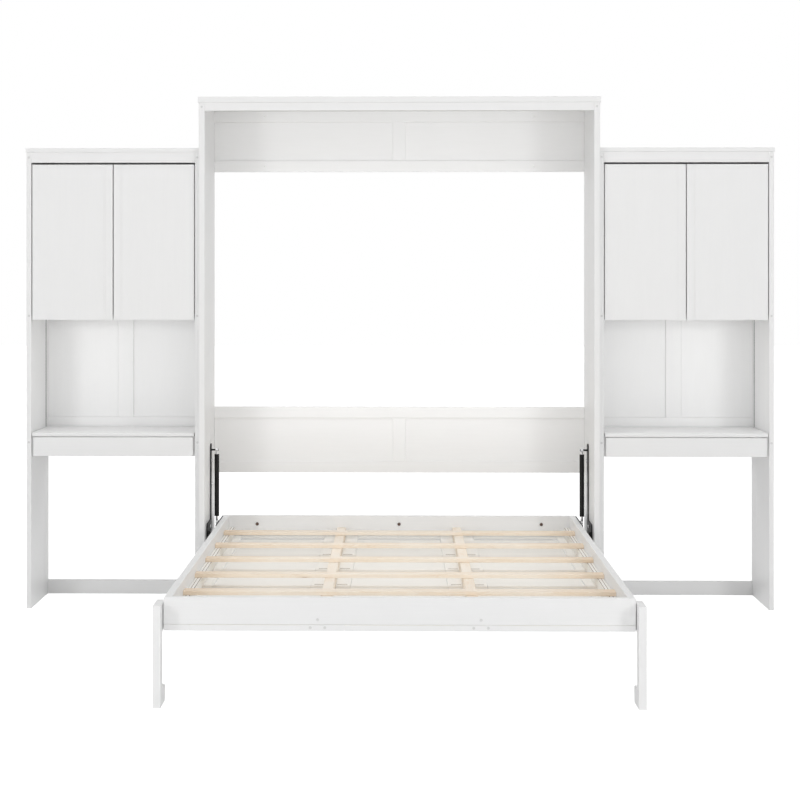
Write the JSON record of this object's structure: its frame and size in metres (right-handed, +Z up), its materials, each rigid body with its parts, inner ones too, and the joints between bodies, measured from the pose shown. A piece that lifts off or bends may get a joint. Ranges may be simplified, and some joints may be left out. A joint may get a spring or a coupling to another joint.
{
  "type": "wall bed",
  "caption": "White wall bed lowered on its fold-out legs in a panelled cabinet, between towers with cupboards, hutches and fold-down desks.",
  "frame": {"origin": "on the floor under the middle of the whole, halfway between the wall and the front of the legs", "axes": "+X to the right along the width, +Y towards the wall, +Z up"},
  "size_m": [3.188, 2.168, 2.18],
  "materials": {
    "white_paint": "white-painted pine, satin",
    "white_underside": "white-painted pine, satin, on the inner side of the bed",
    "pine": "bare planed pine with knots",
    "black_steel": "black powder coat",
    "zinc": "bright zinc plate"
  },
  "bodies": {
    "cabinet": {"cab_side_left": "white_paint", "cab_side_right": "white_paint", "cab_top": "white_paint", "cab_fascia": "white_paint", "header_frame": "white_paint", "mid_frame": "white_paint", "cab_panels": "white_paint", "cab_foot_rail": "white_paint", "mech_plate_left": "black_steel", "mech_plate_right": "black_steel", "mech_bolts": "zinc", "tower_outer_side_left": "white_paint", "tower_outer_side_right": "white_paint", "tower_inner_side_left": "white_paint", "tower_inner_side_right": "white_paint", "tower_top_left": "white_paint", "tower_top_right": "white_paint", "tower_fascias": "white_paint", "cupboard_floors": "white_paint", "cupboard_shelves": "white_paint", "tower_back_frame_left": "white_paint", "tower_back_frame_right": "white_paint", "desk_rail_left": "white_paint", "desk_rail_right": "white_paint", "tower_foot_rails": "white_paint", "tower_panels": "white_paint", "desk_cleats": "white_paint", "shelf_pins": "zinc", "door_hinge_arms": "zinc", "desk_hinges": "zinc"},
    "bed": {"bed_rail_left": "white_paint", "bed_rail_right": "white_paint", "bed_rail_head": "white_paint", "bed_rail_foot": "white_paint", "bed_bearers": "pine", "bed_ledges": "white_underside", "slats": "pine", "bed_face_frame": "white_underside", "bed_face_panels": "white_underside", "bed_bracket_left": "black_steel", "bed_bracket_right": "black_steel", "leg_bolts": "zinc", "head_rail_bolts": "black_steel"},
    "leg_left": {"leg_left": "white_paint"},
    "strut_cylinder_left": {"strut_tube_left": "black_steel"},
    "strut_rod_left": {"strut_rod_left": "zinc"},
    "door_outer_left": {"door_outer_left": "white_paint", "door_cups_outer_left": "zinc"},
    "door_inner_left": {"door_inner_left": "white_paint", "door_cups_inner_left": "zinc"},
    "desk_left": {"desk_leaf_left": "white_paint"},
    "leg_right": {"leg_right": "white_paint"},
    "strut_cylinder_right": {"strut_tube_right": "black_steel"},
    "strut_rod_right": {"strut_rod_right": "zinc"},
    "door_outer_right": {"door_outer_right": "white_paint", "door_cups_outer_right": "zinc"},
    "door_inner_right": {"door_inner_right": "white_paint", "door_cups_inner_right": "zinc"},
    "desk_right": {"desk_leaf_right": "white_paint"}
  },
  "joints": [
    {"name": "bed_fold", "type": "hinge", "parent": "cabinet", "child": "bed", "pos_m": [0, 0.754, 0.31], "axis": [-1, 0, 0], "range_deg": [0, 90]},
    {"name": "leg_left_swing", "type": "hinge", "parent": "bed", "child": "leg_left", "pos_m": [-0.796, -0.991, 0.318], "axis": [1, 0, 0], "range_deg": [0, 90]},
    {"name": "strut_left_swing", "type": "hinge", "parent": "cabinet", "child": "strut_cylinder_left", "pos_m": [-0.796, 0.894, 0.66], "axis": [-1, 0, 0], "range_deg": [0, 12.1]},
    {"name": "strut_left_extend", "type": "slide", "parent": "strut_cylinder_left", "child": "strut_rod_left", "axis": [0, 0, -1], "range_m": [0, 0.1862]},
    {"name": "leg_right_swing", "type": "hinge", "parent": "bed", "child": "leg_right", "pos_m": [0.796, -0.991, 0.318], "axis": [1, 0, 0], "range_deg": [0, 90]},
    {"name": "strut_right_swing", "type": "hinge", "parent": "cabinet", "child": "strut_cylinder_right", "pos_m": [0.796, 0.894, 0.66], "axis": [-1, 0, 0], "range_deg": [0, 12.1]},
    {"name": "strut_right_extend", "type": "slide", "parent": "strut_cylinder_right", "child": "strut_rod_right", "axis": [0, 0, -1], "range_m": [0, 0.1862]},
    {"name": "door_outer_left_hinge", "type": "hinge", "parent": "cabinet", "child": "door_outer_left", "pos_m": [-1.566, 0.7, 1.563], "axis": [0, 0, -1], "range_deg": [0, 105]},
    {"name": "door_inner_left_hinge", "type": "hinge", "parent": "cabinet", "child": "door_inner_left", "pos_m": [-0.874, 0.7, 1.563], "axis": [0, 0, 1], "range_deg": [0, 90]},
    {"name": "desk_left_fold", "type": "hinge", "parent": "cabinet", "child": "desk_left", "pos_m": [-1.22, 1.05, 0.7425], "axis": [-1, 0, 0], "range_deg": [0, 90]},
    {"name": "door_outer_right_hinge", "type": "hinge", "parent": "cabinet", "child": "door_outer_right", "pos_m": [1.566, 0.7, 1.563], "axis": [0, 0, 1], "range_deg": [0, 105]},
    {"name": "door_inner_right_hinge", "type": "hinge", "parent": "cabinet", "child": "door_inner_right", "pos_m": [0.874, 0.7, 1.563], "axis": [0, 0, -1], "range_deg": [0, 90]},
    {"name": "desk_right_fold", "type": "hinge", "parent": "cabinet", "child": "desk_right", "pos_m": [1.22, 1.05, 0.7425], "axis": [-1, 0, 0], "range_deg": [0, 90]}
  ],
  "couplings": [
    {"joint": "leg_left_swing", "follows": "bed_fold", "ratio": 1},
    {"joint": "strut_left_swing", "follows": "bed_fold", "ratio": 0.13439},
    {"joint": "strut_left_extend", "follows": "bed_fold", "m_per_rad": 0.11849},
    {"joint": "leg_right_swing", "follows": "bed_fold", "ratio": 1},
    {"joint": "strut_right_swing", "follows": "bed_fold", "ratio": 0.13439},
    {"joint": "strut_right_extend", "follows": "bed_fold", "m_per_rad": 0.11849}
  ]
}
